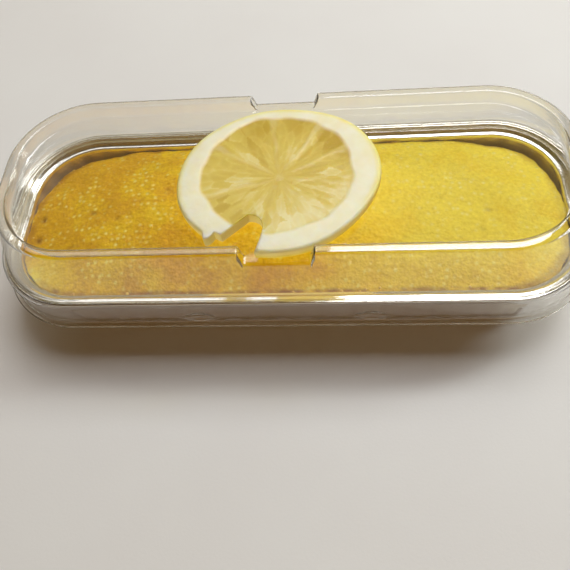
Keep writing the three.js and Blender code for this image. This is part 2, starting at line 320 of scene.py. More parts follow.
# Pale gold on the inside wall: partly baked film, partly a painted reflection of the lit cake.
film_and_reflection_colour = node(
    tree, "ShaderNodeMix", {0: film_and_reflection_share.outputs[0], 6: bright, 7: colour("#EFDDA6")}, data_type="RGBA"
)
blur = node(tree, "ShaderNodeMapRange", {"Value": grain.outputs[0], "To Min": 0.09, "To Max": 0.17})
matte_and_painted_warmth = node(tree, "ShaderNodeAttribute", attribute_name="matte_and_painted_warmth").outputs["Fac"]
dull = node(tree, "ShaderNodeMapRange", {"Value": matte_and_painted_warmth, "To Min": blur.outputs[0], "To Max": 0.25})
rise = node(tree, "ShaderNodeMath", {0: crease.outputs["Distance"], 1: grain.outputs[0]}, operation="ADD")
dent = node(tree, "ShaderNodeBump", {"Strength": 0.22, "Distance": 0.12 * MM, "Height": rise.outputs[0]})
bare = node(tree, "ShaderNodeMapRange", {"Value": film_and_reflection_share.outputs[0], "To Min": 1.0, "To Max": 0.15})
dusty = node(tree, "ShaderNodeMapRange", {"Value": matte_and_painted_warmth, "To Min": bare.outputs[0], "To Max": 0.78})
# The outside is duller, and its warm beige tint is a painted reflection of the floor and its warm shadow in
# front.
warm = node(tree, "ShaderNodeMix", {0: matte_and_painted_warmth, 6: film_and_reflection_colour.outputs[2], 7: colour("#F0E6D0")}, data_type="RGBA")
metal = node(
    tree,
    "ShaderNodeBsdfPrincipled",
    {
        "Base Color": warm.outputs[2],
        "Metallic": dusty.outputs[0],
        "Roughness": dull.outputs[0],
        "Normal": dent.outputs[0],
    },
)
tree.links.new(metal.outputs[0], surface)
print("made", rolled_foil.name)

# %% [markdown]
# ## The pressed tin
# The tin is one profile carried round the rim: floor, wall, a ledge, a slanted step, a flat flange, a
# groove and a squarish rolled bead. The wall alone is fluted. A stack of rings would do, but the shape is a
# rule, so Geometry Nodes make it. The profile is drawn as a chain of edges whose points know how deeply
# they are fluted. Beside each sharp bend it has close points, because smooth shading would else spread the
# bend's light over the whole face. The tree sweeps the chain along a filleted rectangle, pushes the wall in
# and out with a cosine, and adds the small unevenness of handled foil.

# %% Profile of the tin
foil, bead, floor_radius = 0.35, 1.5, 2.2
wall_top_inset, wall_top_z, wall_taper = 5.2, rim_z - 3.75, 4.6
flute_loss, flute_fade = 0.8, 0.25
floor_inset = wall_top_inset + wall_taper + floor_radius


def wall_points(inset_shift, floor_z, smooth_from, count=12):
    """Profile points up one face of the wall: inset, height, share of fluting, and share of baked coating
    with its painted reflection of the cake.
    """
    rows = []
    for t in np.linspace(0, 1, count):
        z = floor_radius + floor_z + t * (wall_top_z - floor_radius - floor_z)
        share = 1 - flute_loss * smoothstep(t, smooth_from, smooth_from + flute_fade)
        rows.append((wall_top_inset + wall_taper * (1 - t) + inset_shift, z, share, 0))
    return rows


bead_middle = rim_z - bead / 2
bead_turns = np.linspace(0.1, 1.34, 25) * math.pi
bead_circle = np.array([np.sin(bead_turns), np.cos(bead_turns)])
bead_squareness = 0.6
squared = np.sign(bead_circle) * np.abs(bead_circle) ** bead_squareness
rolled = [(bead / 2 * (1 - s), bead_middle - bead / 2 * c, 0, 0) for s, c in squared.T]
outside = [(floor_inset, 0, 0.3, 0), (floor_inset - 1.2, 0.15, 0.5, 0), (floor_inset - 2.0, 0.8, 0.7, 0)]
outside += wall_points(-foil, 0, 0.8)

# Insets from the rim's outer edge, and depths below its top.
under_rim = [(4.87, 3.1), (4.82, 2.5), (4.72, 2.05), (4.6, 1.84), (4.4, 1.76), (4.1, 1.72), (3.8, 1.64)]
under_rim += [(3.5, 1.48), (3.2, 1.22), (2.95, 0.98), (2.75, 0.82)]
groove = [(1.47, 0.6), (1.5, 0.64), (1.53, 0.63), (1.84, 0.47), (1.88, 0.46), (1.94, 0.455)]
flange = [(2.3, 0.43), (2.75, 0.4), (2.8, 0.4), (2.84, 0.42)]
step = [(2.88, 0.455), (3.25, 0.8), (3.55, 1.08), (3.72, 1.22), (3.9, 1.32), (4.1, 1.38)]
ledge = [(4.3, 1.41), (4.55, 1.43), (4.72, 1.47), (4.84, 1.55), (4.94, 1.7), (5.04, 2.0)]
outside += [(inset, rim_z - depth, 0, 0) for inset, depth in under_rim]
rim_top = [(inset, rim_z - depth, 0, 0) for inset, depth in groove + flange + step + ledge]
# The last number on these rows is the share of baked film, which also carries a painted reflection of the
# cake.
wall_head = [(5.12, 2.36, 0.03, 0.1), (5.18, 2.7, 0.06, 0.3), (5.2, 3.1, 0.12, 0.45)]
rim_top += [(inset, rim_z - depth, fluting, film_and_reflection) for inset, depth, fluting, film_and_reflection in wall_head]
inside_up = wall_points(0, foil, 0.62)
inner_wall = [(i, z, f, 1 - 0.5 * smoothstep(z, 16, 22)) for i, z, f, _ in reversed(inside_up)]
floor_inside = [(floor_inset - 1.2, 0.15 + foil, 0.5, 1), (floor_inset, foil, 0.3, 1)]
under_bead = [(1.5, rim_z - 0.82, 0, 0)]
profile = np.array(outside + under_bead + rolled + rim_top + inner_wall + floor_inside)
print(len(profile), "points in the profile")


# %% Helpers for geometry trees
def new_tree(name, **inputs):
    """A geometry tree with named inputs of the given kinds: the tree, its inputs and its output socket."""
    tree = bpy.data.node_groups.new(name, "GeometryNodeTree")
    for label, kind in inputs.items():
        tree.interface.new_socket(label, in_out="INPUT", socket_type="NodeSocket" + kind)
    tree.interface.new_socket("Geometry", in_out="OUTPUT", socket_type="NodeSocketGeometry")
    given = node(tree, "NodeGroupInput").outputs
    return tree, given, node(tree, "NodeGroupOutput").inputs["Geometry"]


def settle(piece):
    """Make the shape that a piece's modifiers give its plain mesh, and drop the modifiers."""
    depsgraph = bpy.context.evaluated_depsgraph_get()
    made = bpy.data.meshes.new_from_object(piece.evaluated_get(depsgraph), depsgraph=depsgraph)
    piece.modifiers.clear()
    piece.data = made


def grow(piece, tree, **sizes):
    """Run a geometry tree on a piece and keep the result as its plain mesh."""
    modifier = piece.modifiers.new(tree.name, "NODES")
    modifier.node_group = tree
    for item in tree.interface.items_tree:
        if item.in_out == "INPUT" and item.name in sizes:
            modifier[item.identifier] = sizes[item.name]
    settle(piece)
    piece.data.polygons.foreach_set("use_smooth", [True] * len(piece.data.polygons))
    return piece


def set_attribute(mesh, name, values):
    """Store one number for each point of a mesh."""
    mesh.attributes.new(name, "FLOAT", "POINT").data.foreach_set("value", np.asarray(values, np.float32))


# %% Tree that sweeps and flutes the tin
tree, given, result = new_tree(
    "pressed_tin", Profile="Geometry", Length="Float", Width="Float", Corner="Float", Flutes="Int",
    Steps="Int", Depth="Float", Unevenness="Float", Seed="Float", Finish="Material",
)
rectangle = node(
    tree, "GeometryNodeCurvePrimitiveQuadrilateral", {"Width": given["Length"], "Height": given["Width"]}
)
rounded = node(
    tree,
    "GeometryNodeFilletCurve",
    {"Curve": rectangle.outputs[0], "Radius": given["Corner"], "Count": 40},
    mode="POLY",
)
count = node(tree, "ShaderNodeMath", {0: given["Flutes"], 1: given["Steps"]}, operation="MULTIPLY")
even = node(
    tree,
    "GeometryNodeResampleCurve",
    {"Curve": rounded.outputs[0], "Count": count.outputs[0]},
    mode="COUNT",
)
level_path = node(tree, "GeometryNodeSetCurveNormal", {"Curve": even.outputs[0]}, mode="Z_UP")
around = node(
    tree,
    "GeometryNodeStoreNamedAttribute",
    {
        "Geometry": level_path.outputs[0],
        "Name": "around",
        "Value": node(tree, "GeometryNodeSplineParameter").outputs["Factor"],
    },
    data_type="FLOAT",
)
sideways = node(
    tree,
    "ShaderNodeVectorMath",
    {0: node(tree, "GeometryNodeInputTangent").outputs[0], 1: (0, 0, 1)},
    operation="CROSS_PRODUCT",
)
outward = node(
    tree,
    "GeometryNodeStoreNamedAttribute",
    {"Geometry": around.outputs[0], "Name": "outward", "Value": sideways.outputs[0]},
    data_type="FLOAT_VECTOR",
)
chain = node(tree, "GeometryNodeMeshToCurve", {"Mesh": given["Profile"]})
swept = node(
    tree, "GeometryNodeCurveToMesh", {"Curve": outward.outputs[0], "Profile Curve": chain.outputs[0]}
)
share = node(tree, "GeometryNodeInputNamedAttribute", {"Name": "flute"}, data_type="FLOAT")
place_round = node(tree, "GeometryNodeInputNamedAttribute", {"Name": "around"}, data_type="FLOAT")
way_out = node(tree, "GeometryNodeInputNamedAttribute", {"Name": "outward"}, data_type="FLOAT_VECTOR")
turns = node(tree, "ShaderNodeMath", {0: place_round.outputs[0], 1: given["Flutes"]}, operation="MULTIPLY")
angle = node(tree, "ShaderNodeMath", {0: turns.outputs[0], 1: 2 * math.pi}, operation="MULTIPLY")
wave = node(tree, "ShaderNodeMath", {0: angle.outputs[0]}, operation="COSINE")
deep = node(tree, "ShaderNodeMath", {0: share.outputs[0], 1: given["Depth"]}, operation="MULTIPLY")
push = node(tree, "ShaderNodeMath", {0: wave.outputs[0], 1: deep.outputs[0]}, operation="MULTIPLY")
half_push = node(tree, "ShaderNodeMath", {0: push.outputs[0], 1: 0.5}, operation="MULTIPLY")
fluted = node(
    tree, "ShaderNodeVectorMath", {0: way_out.outputs[0], "Scale": half_push.outputs[0]}, operation="SCALE"
)
soft_noise = node(
    tree,
    "ShaderNodeTexNoise",
    {
        "Vector": node(tree, "GeometryNodeInputPosition").outputs[0],
        "W": given["Seed"],
        "Scale": 1 / (16 * MM),
    },
    noise_dimensions="4D",
)
centred = node(
    tree, "ShaderNodeVectorMath", {0: soft_noise.outputs["Color"], 1: (0.5, 0.5, 0.5)}, operation="SUBTRACT"
)
handled = node(
    tree, "ShaderNodeVectorMath", {0: centred.outputs[0], "Scale": given["Unevenness"]}, operation="SCALE"
)
moves = node(tree, "ShaderNodeVectorMath", {0: fluted.outputs[0], 1: handled.outputs[0]}, operation="ADD")
moved = node(tree, "GeometryNodeSetPosition", {"Geometry": swept.outputs[0], "Offset": moves.outputs[0]})
whole = node(tree, "GeometryNodeRealizeInstances", {"Geometry": moved.outputs[0]})
finished = node(
    tree, "GeometryNodeSetMaterial", {"Geometry": whole.outputs[0], "Material": given["Finish"]}
)
tree.links.new(finished.outputs[0], result)
tin_tree = tree
print(len(tree.nodes), "nodes in", tree.name)

# %% Make the tin
chain_mesh = bpy.data.meshes.new("foil_tin_pressed")
chain_points = np.column_stack([-profile[:, 0], -profile[:, 1], np.zeros(len(profile))]) * MM
chain_mesh.from_pydata(chain_points, [(i, i + 1) for i in range(len(profile) - 1)], [])
set_attribute(chain_mesh, "flute", profile[:, 2])
set_attribute(chain_mesh, "film_and_reflection", profile[:, 3])
# Where the outside is: duller foil with a painted warm tint.
set_attribute(chain_mesh, "matte_and_painted_warmth", np.arange(len(profile)) < len(outside))
tin = bpy.data.objects.new("foil_tin_pressed", chain_mesh)
scene.collection.objects.link(tin)
flutes, steps_per_flute, flute_depth = 56, 12, 1.0
grow(
    tin, tin_tree, Length=rim_length * MM, Width=rim_width * MM, Corner=rim_corner * MM, Flutes=flutes,
    Steps=steps_per_flute, Depth=flute_depth * MM, Unevenness=0.22 * MM, Seed=3.0, Finish=rolled_foil,
)


def close_up(piece):
    """Drop loose points, merge doubled ones, shut open ends with a face, and turn every face outwards."""
    shell = bmesh.new()
    shell.from_mesh(piece.data)
    bmesh.ops.delete(shell, geom=[v for v in shell.verts if not v.link_faces], context="VERTS")
    bmesh.ops.remove_doubles(shell, verts=shell.verts, dist=0.002 * MM)
    bmesh.ops.holes_fill(shell, edges=[e for e in shell.edges if e.is_boundary], sides=0)
    bmesh.ops.recalc_face_normals(shell, faces=shell.faces)
    shell.to_mesh(piece.data)
    shell.free()


close_up(tin)
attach(tin, "root")
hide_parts("foil_tin")
print("tin:", triangles(tin), "triangles, box", np.round(np.array(tin.bound_box)[[0, 6]] / MM, 2).tolist())

# %% [markdown]
# ## Lemon sponge
# A loaf cake's top is a thin skin of set batter: golden where it browned, lemon yellow where it stayed
# pale, and dotted with small burst bubbles. Butter and sugar leave it moist, and the moist spots stand up
# as small wet domes that glint. Bump alone would leave the skin's outline too clean, so the larger lumps
# and pits go into the mesh, and only grain finer than about two millimetres is bump. A glint that small is
# lost in a clean render, so the domes also carry painted glints, a pale yellow in the base colour. The pits
# are darkened in the colour as well, which is painted shade in the hollows. The crust colour along the
# loaf's edge and down its side is partly browning and partly painted shade where the loaf meets the foil.
# The front of the left end is paler, and along the front right a darker colour is painted shade under the
# slice. Light goes a little way into crumb, so it has some subsurface scattering.

# %% Sponge material
sponge, tree, surface = material("moist_lemon_sponge")
place = node(tree, "ShaderNodeTexCoord").outputs["Object"]
browning_and_shade, pit, pale_and_painted_shade = (
    node(tree, "ShaderNodeAttribute", attribute_name=name).outputs["Fac"] for name in ("browning_and_shade", "pit", "pale_and_painted_shade")
)
along = node(tree, "ShaderNodeSeparateXYZ", {0: place}).outputs["X"]
paling = node(
    tree,
    "ShaderNodeMapRange",
    {"Value": along, "From Min": -75 * MM, "From Max": 45 * MM},
    interpolation_type="SMOOTHSTEP",
)
cloud = node(tree, "ShaderNodeTexNoise", {"Vector": place, "Scale": 1 / (13 * MM), "Detail": 4.0})
shift = node(
    tree,
    "ShaderNodeMapRange",
    {"Value": cloud.outputs[0], "From Min": 0.3, "From Max": 0.7, "To Min": -0.34, "To Max": 0.34},
)
clouded = node(
    tree, "ShaderNodeMath", {0: paling.outputs[0], 1: shift.outputs[0]}, operation="ADD", use_clamp=True
)
broad_tone = node(tree, "ShaderNodeMath", {0: clouded.outputs[0], 1: pale_and_painted_shade}, operation="ADD")
grain = node(
    tree, "ShaderNodeTexNoise", {"Vector": place, "Scale": 1 / (1.2 * MM), "Detail": 3.0, "Roughness": 0.6}
)
fleck = node(
    tree,
    "ShaderNodeMapRange",
    {"Value": grain.outputs[0], "From Min": 0.3, "From Max": 0.7, "To Min": -0.16, "To Max": 0.16},
)
pale_share = node(tree, "ShaderNodeMath", {0: broad_tone.outputs[0], 1: fleck.outputs[0]}, operation="ADD")
skin = node(
    tree,
    "ShaderNodeValToRGB",
    {"Fac": pale_share.outputs[0]},
    stops=[(0.0, "#E4AB02"), (0.4, "#F3C904"), (1.0, "#F8DE40")],
).outputs["Color"]
speck = node(
    tree,
    "ShaderNodeMapRange",
    {"Value": grain.outputs[0], "From Min": 0.35, "From Max": 0.7, "To Min": 0.92, "To Max": 1.05},
)
grained = node(tree, "ShaderNodeVectorMath", {0: skin, "Scale": speck.outputs[0]}, operation="SCALE")
beads = node(
    tree,
    "ShaderNodeTexVoronoi",
    {"Vector": place, "Scale": 1 / (2.2 * MM)},
    feature="F1",
    voronoi_dimensions="2D",
)
dome = node(
    tree,
    "ShaderNodeMapRange",
    {"Value": beads.outputs["Distance"], "From Max": 0.55, "To Min": 1.0, "To Max": 0.0},
    interpolation_type="SMOOTHSTEP",
)
wet_skin = node(tree, "ShaderNodeBump", {"Strength": 1.0, "Distance": 0.4 * MM, "Height": dome.outputs[0]})
moist = node(
    tree,
    "ShaderNodeMapRange",
    {"Value": cloud.outputs[0], "From Min": 0.4, "From Max": 0.55, "To Min": 0.25, "To Max": 1.0},
)
picked = node(
    tree, "ShaderNodeMapRange", {"Value": beads.outputs["Color"], "From Min": 0.45, "From Max": 0.65}
)
damp = node(tree, "ShaderNodeMath", {0: moist.outputs[0], 1: picked.outputs[0]}, operation="MULTIPLY")
wetness = node(tree, "ShaderNodeMath", {0: dome.outputs[0], 1: damp.outputs[0]}, operation="MULTIPLY")
# Painted glints: pale yellow at the middles of the wet domes.
painted_glint_share = node(tree, "ShaderNodeMapRange", {"Value": wetness.outputs[0], "From Min": 0.2, "To Max": 0.9})
painted_glints = node(
    tree,
    "ShaderNodeMix",
    {0: painted_glint_share.outputs[0], 6: grained.outputs[0], 7: colour("#FFEB74")},
    data_type="RGBA",
)
# Crust colour: browning, with painted shade along the loaf's edge and down its side.
crust_and_shade = node(
    tree, "ShaderNodeMix", {0: browning_and_shade, 6: painted_glints.outputs[2], 7: colour("#8A4E10")}, data_type="RGBA"
)
# Painted shade in the pits, darkening their sunk middles.
painted_pit_shade = node(tree, "ShaderNodeMix", {0: pit, 6: crust_and_shade.outputs[2], 7: colour("#8E5A0C")}, data_type="RGBA")
bubble = node(tree, "ShaderNodeTexVoronoi", {"Vector": place, "Scale": 1 / (0.9 * MM)}, feature="F1")
height = node(tree, "ShaderNodeMath", {0: grain.outputs[0], 1: bubble.outputs["Distance"]}, operation="ADD")
rough_skin = node(
    tree, "ShaderNodeBump", {"Strength": 0.45, "Distance": 0.3 * MM, "Height": height.outputs[0]}
)
crumb = node(
    tree,
    "ShaderNodeBsdfPrincipled",
    {
        "Base Color": painted_pit_shade.outputs[2],
        "Roughness": 0.62,
        "Specular IOR Level": 0.3,
        "Subsurface Weight": 0.15,
        "Subsurface Radius": (1.0, 0.55, 0.15),
        "Subsurface Scale": 2.0 * MM,
        "Coat Weight": wetness.outputs[0],
        "Coat Roughness": 0.1,
        "Normal": rough_skin.outputs[0],
        "Coat Normal": wet_skin.outputs[0],
    },
)
tree.links.new(crumb.outputs[0], surface)
print("made", sponge.name)

# %% [markdown]
# ## The loaf
# The loaf keeps the tin's slope on its sides, has a soft shoulder and rises to a low, uneven dome. It
# shrank most from the tin's two back corners. The rings follow the same rule as the solid, with many more
# of them, and the lumps come from Blender's own noise, read at each point in millimetres so that their
# sizes are real ones.

# %% Rule of the loaf
ledge_z = rim_z - 2.95
cake_edge_z, cake_foot_z = rim_z - 2.9, 0.65
cake_clear, cake_touch, cake_shoulder, cake_dome, dome_flatness = 0.8, 0.15, 0.7, 6.2, 2.6
corner_shrink, corner_sink, corner_start, corner_full = 1.8, 1.9, 0.98, 1.2
# Each wave's height, its lengths along and across the loaf, and its phase.
crumb_waves = ((0.32, 84, 150, 0.1), (0.26, -61, 74, 0.55), (0.22, 33, -38, 0.0), (0.18, 42, 27, 0.3))


def wall_inset(z):
    """How far in from the rim the tin's inside wall is at a height."""
    return wall_top_inset + wall_taper * np.clip((ledge_z - z) / (ledge_z - floor_radius), 0, 1)


def back_corner(points):
    """How far the loaf has shrunk from the tin at a point, from 0 to 1."""
    reach = np.abs(points[:, 0]) / (rim_length / 2) + 0.5 * points[:, 1] / (rim_width / 2)
    return smoothstep(reach, corner_start, corner_full)


def crumb_relief(x, y):
    """The gentle waves of the loaf's top."""
    return sum(h * np.sin(2 * math.pi * (x / a + y / b + s)) for h, a, b, s in crumb_waves)


def lumps(points, size, shift=0.0):
    """Smooth noise between about -1 and 1 with lumps of a size in millimetres."""
    return np.array([noise.noise(Vector(p) / size + Vector((shift, shift, shift))) for p in points])


def bubbles(points, size):
    """How near each point is to the middle of a bubble cell: 1 in the middle, 0 between cells."""
    near = [noise.voronoi(Vector(p) / size)[0][0] for p in points]
    return np.clip(1 - np.array(near) * 1.6, 0, 1)


print("the loaf's edge is", round(cake_edge_z, 2), "mm up and its dome", cake_dome, "mm higher")


# %% Make the loaf
cake_around, cake_rings = 720, 92
shares, out, _ = places_round(*rim_plan, (np.arange(cake_around) + 0.5) / cake_around * rim_round)


def cake_side(z, inset=0.0):
    """A ring of the loaf's side, drawn in and sunk at the back corners."""
    high = (z - cake_foot_z) / (cake_edge_z - cake_foot_z)
    clear = cake_clear + (cake_touch - cake_clear) * smoothstep(high, 0.75, 0.95)
    points = ring(shares, out, rim_plan, wall_inset(z) + clear + inset, z)
    shrunk = back_corner(points) * high
    points[:, :2] -= out * (corner_shrink * shrunk)[:, None]
    points[:, 2] -= corner_sink * shrunk
    return points


side_heights = np.linspace(cake_foot_z + floor_radius, cake_edge_z - cake_shoulder, 9)
shoulder_turns = np.linspace(0.15, 1, 6) * math.pi / 2
side_rings = [cake_side(cake_foot_z, floor_radius)] + [cake_side(z) for z in side_heights]
for turn in shoulder_turns:
    rise = cake_shoulder * (math.sin(turn) - 1)
    side_rings.append(cake_side(cake_edge_z + rise, cake_shoulder * (1 - math.cos(turn))))
edge = side_rings[-1]
scales = np.linspace(1, 0.012, cake_rings)[1:]
top_rings = []
for scale in scales:
    flat = edge[:, :2] * scale
    level_z = cake_edge_z + (edge[:, 2] - cake_edge_z) * scale**4
    dome = cake_dome * (1 - scale**dome_flatness) + crumb_relief(*flat.T) * (1 - scale**6)
    top_rings.append(np.column_stack([flat, level_z + dome]))
points, faces = loft(side_rings + top_rings)
rows = np.concatenate([np.full(len(side_rings), 1.0), scales]).repeat(cake_around)
rows = np.append(rows, [0.0, 0.0])
on_top = smoothstep(points[:, 2], cake_edge_z - 4.5, cake_edge_z - 1.0)

# Each burst bubble's place along and across the loaf, its radius and its strength.
pits = np.array([
    (-66.4, 0.1, 1.3, 0.9), (-56.9, -3.5, 1.0, 0.5), (-40.9, 8.0, 1.1, 0.5), (65.0, -3.0, 1.5, 0.3),
    (62.1, -10.8, 1.6, 0.3), (50.4, 2.0, 1.3, 0.2), (-85.2, -0.5, 1.7, 1.0), (-85.0, -9.0, 2.0, 1.0),
    (-72.0, -14.0, 0.9, 0.5), (-30.0, 22.0, 0.8, 0.4), (38.0, -14.0, 0.9, 0.3), (24.0, 24.0, 0.8, 0.4),
])
pit_depth = np.zeros(len(points))
for x, y, radius, strength in pits:
    near = np.hypot(points[:, 0] - x, points[:, 1] - y) / (0.65 * radius)
    pit_depth = np.maximum(pit_depth, strength * np.exp(-near * near) * (points[:, 2] > cake_edge_z - 3))
fine = bubbles(points, 1.5)
coarse = lumps(points, 5.5)
medium = lumps(points, 2.1, 7.3)
calm = 1 - 0.6 * smoothstep(-points[:, 1], 18, 28)
coarse_height, medium_height, bubble_height, pit_height = 0.3, 0.24, 0.2, 0.8
relief = coarse_height * coarse + calm * (medium_height * medium + bubble_height * fine)
points[:, 2] += on_top * relief - pit_height * pit_depth
ragged = 0.35 * lumps(points, 4.0, 3.1) * smoothstep(rows, 0.9, 1.0)
points[:, :2] *= 1 + (on_top * ragged / 40)[:, None]

cake = build("loaf_crumb", points, faces, sponge)
# Browning and painted shade: at the edge where the loaf meets the foil, lower down its side, and along its
# front edge.
edge_crust_and_shade = smoothstep(rows, 0.96, 1.0) * (0.4 + 0.6 * lumps(points, 7.0, 5.5))
low_crust_and_shade = 0.5 * smoothstep(-points[:, 2], -cake_edge_z + 1.0, -cake_edge_z + 8.0)
front_edge = 0.9 * smoothstep(rows, 0.975, 1.0) * smoothstep(-points[:, 1], 22, 29)
front_crust_and_shade = front_edge * (0.6 + lumps(points, 3.0, 9.1))
set_attribute(cake.data, "browning_and_shade", np.clip(np.maximum(edge_crust_and_shade, front_crust_and_shade), 0, 0.9) + low_crust_and_shade)
# The pits' depth also darkens their colour: painted shade in the hollows.
set_attribute(cake.data, "pit", pit_depth)
# Paler at the front of the left end; darker along the front right, a painted shade under the slice.
front_left = smoothstep(-points[:, 1], 10, 24) * smoothstep(-points[:, 0], 58, 84)
front_right_painted_shade = smoothstep(-points[:, 1], 15, 25) * smoothstep(points[:, 0], -45, 10)
set_attribute(cake.data, "pale_and_painted_shade", 0.7 * front_left - 0.4 * front_right_painted_shade)
crumbly = smoothstep(np.maximum(-points[:, 1], -points[:, 0] - 62), 4, 18)
scatter = crumbly * smoothstep(rows, 0.965, 0.995)
scatter *= smoothstep(points[:, 2], cake_edge_z - 3.5, cake_edge_z - 1.5)
set_attribute(cake.data, "scatter", scatter)
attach(cake, "root")
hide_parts("loaf_cake")
print("loaf:", triangles(cake), "triangles, top at", round(points[:, 2].max(), 2), "mm")

# %% [markdown]
# ## Crumbs and foil puckers
# Loose crumbs lie along the loaf's front and left edge, and the foil above the loaf's back edge has small
# puckers that catch the light. Both are many small things strewn over a surface, so one tree makes both: it
# draws points on the faces, as densely as an attribute says, puts a small ball on each, turns and sizes it
# by a seeded draw, and dents the balls with noise.

# %% Crumb material
crumb_bits, tree, surface = material("toasted_crumb")
place = node(tree, "ShaderNodeTexCoord").outputs["Object"]
tone = node(tree, "ShaderNodeTexNoise", {"Vector": place, "Scale": 1 / (1.6 * MM), "Detail": 2.0})
toast = node(
    tree,
    "ShaderNodeValToRGB",
    {"Fac": tone.outputs[0]},
    stops=[(0.3, "#BE8428"), (0.5, "#DCAC40"), (0.7, "#EBCB62")],
).outputs["Color"]
bit = node(tree, "ShaderNodeBsdfPrincipled", {"Base Color": toast, "Roughness": 0.6, "Coat Weight": 0.2})
tree.links.new(bit.outputs[0], surface)
print("made", crumb_bits.name)

# %% Tree that strews bits over a surface
tree, given, result = new_tree(
    "strewn_bits", Surface="Geometry", Density="Float", Smallest="Float", Largest="Float", Flatness="Float",
    Lumpiness="Float", Seed="Int", Finish="Material",
)
wanted = node(tree, "GeometryNodeInputNamedAttribute", {"Name": "scatter"}, data_type="FLOAT")
dense = node(tree, "ShaderNodeMath", {0: wanted.outputs[0], 1: given["Density"]}, operation="MULTIPLY")
drawn = node(
    tree,
    "GeometryNodeDistributePointsOnFaces",
    {"Mesh": given["Surface"], "Density": dense.outputs[0], "Seed": given["Seed"]},
    distribute_method="RANDOM",
)
ball = node(tree, "GeometryNodeMeshIcoSphere", {"Radius": 1.0, "Subdivisions": 2})
size = node(
    tree,
    "FunctionNodeRandomValue",
    {2: given["Smallest"], 3: given["Largest"], "Seed": given["Seed"]},
    data_type="FLOAT",
)
squashed = node(tree, "ShaderNodeMath", {0: size.outputs[1], 1: given["Flatness"]}, operation="MULTIPLY")
ball_scale = node(
    tree,
    "ShaderNodeCombineXYZ",
    {"X": size.outputs[1], "Y": size.outputs[1], "Z": squashed.outputs[0]},
)
placed = node(
    tree,
    "GeometryNodeInstanceOnPoints",
    {
        "Points": drawn.outputs["Points"],
        "Instance": ball.outputs["Mesh"],
        "Rotation": drawn.outputs["Rotation"],
        "Scale": ball_scale.outputs[0],
    },
)
solid = node(tree, "GeometryNodeRealizeInstances", {"Geometry": placed.outputs[0]})
dents = node(
    tree,
    "ShaderNodeTexNoise",
    {"Vector": node(tree, "GeometryNodeInputPosition").outputs[0], "Scale": 1 / (0.5 * MM), "Detail": 1.0},
)
centred = node(
    tree, "ShaderNodeVectorMath", {0: dents.outputs["Color"], 1: (0.5, 0.5, 0.5)}, operation="SUBTRACT"
)
dented = node(
    tree, "ShaderNodeVectorMath", {0: centred.outputs[0], "Scale": given["Lumpiness"]}, operation="SCALE"
)
shaped = node(tree, "GeometryNodeSetPosition", {"Geometry": solid.outputs[0], "Offset": dented.outputs[0]})
finished = node(
    tree, "GeometryNodeSetMaterial", {"Geometry": shaped.outputs[0], "Material": given["Finish"]}
)
tree.links.new(finished.outputs[0], result)
strew_tree = tree
print(len(tree.nodes), "nodes in", tree.name)


def strew(name, source, **sizes):
    """A piece of small bits strewn over a copy of a source mesh."""
    piece = bpy.data.objects.new(name, source.data.copy())
    scene.collection.objects.link(piece)
    grow(piece, strew_tree, **sizes)
    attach(piece, "root")
    print(name + ":", triangles(piece), "triangles")
    return piece


# %% Strew crumbs and puckers
crumbs = strew(
    "loose_crumbs", cake, Density=9.0e4, Smallest=0.2 * MM, Largest=0.55 * MM, Flatness=0.7,
    Lumpiness=0.35 * MM, Seed=11, Finish=crumb_bits,
)
tin_points = np.array([v.co for v in tin.data.vertices]) / MM
tin_film_and_reflection = np.zeros(len(tin_points), np.float32)
tin.data.attributes["film_and_reflection"].data.foreach_get("value", tin_film_and_reflection)
upper_wall = np.exp(-(((tin_points[:, 2] - wall_top_z + 2.6) / 1.3) ** 2))
towards_back = smoothstep(tin_points[:, 1], 12, 28) * (1 - smoothstep(np.abs(tin_points[:, 0]), 62, 76))
set_attribute(tin.data, "scatter", (tin_film_and_reflection > 0.2) * upper_wall * towards_back)
puckers = strew(
    "foil_puckers", tin, Density=8.0e4, Smallest=0.15 * MM, Largest=0.45 * MM, Flatness=0.5,
    Lumpiness=0.0, Seed=5, Finish=rolled_foil,
)

# %% [markdown]
# ## Clear sheet
# Such lids are drawn from clear PET sheet, a third of a millimetre thick, heated and pulled into a mould.
# The sheet bends light like a window, only more: its index is about 1.575. Where it is seen edge-on it
# shows as a line, and a solid glass would draw that line too dark, so edge-on parts let some light straight
# through. A renderer can't find a small light through bent glass, so shadow rays and light bounced off the
# cake also pass straight through, dimmed as much as the two faces of a sheet would dim it.

# %% Clear sheet material
clear_sheet, tree, surface = material("thermoformed_clear_pet")
place = node(tree, "ShaderNodeTexCoord").outputs["Object"]
ripple = node(tree, "ShaderNodeTexNoise", {"Vector": place, "Scale": 1 / (18 * MM), "Detail": 1.0})
pull = node(tree, "ShaderNodeBump", {"Strength": 0.05, "Distance": 1.0 * MM, "Height": ripple.outputs[0]})
pet = node(
    tree,
    "ShaderNodeBsdfPrincipled",
    {
        "Base Color": colour("#FDFDFB"),
        "Roughness": 0.03,
        "IOR": 1.575,
        "Specular IOR Level": 0.4,
        "Transmission Weight": 1.0,
        "Normal": pull.outputs[0],
    },
)
facing = node(tree, "ShaderNodeLayerWeight", {"Blend": 0.5}).outputs["Facing"]
grazing = node(tree, "ShaderNodeMath", {0: facing, 1: 5.0}, operation="POWER")
passing = node(tree, "ShaderNodeMapRange", {"Value": grazing.outputs[0], "To Min": 0.95, "To Max": 0.0})
straight = node(tree, "ShaderNodeBsdfTransparent", {"Color": passing.outputs[0]})
path = node(tree, "ShaderNodeLightPath")
soft_ray = node(
    tree,
    "ShaderNodeMath",
    {0: path.outputs["Is Shadow Ray"], 1: path.outputs["Is Diffuse Ray"]},
    operation="MAXIMUM",
)
thin = node(tree, "ShaderNodeBsdfTransparent", {"Color": colour("#F3F1EC")})
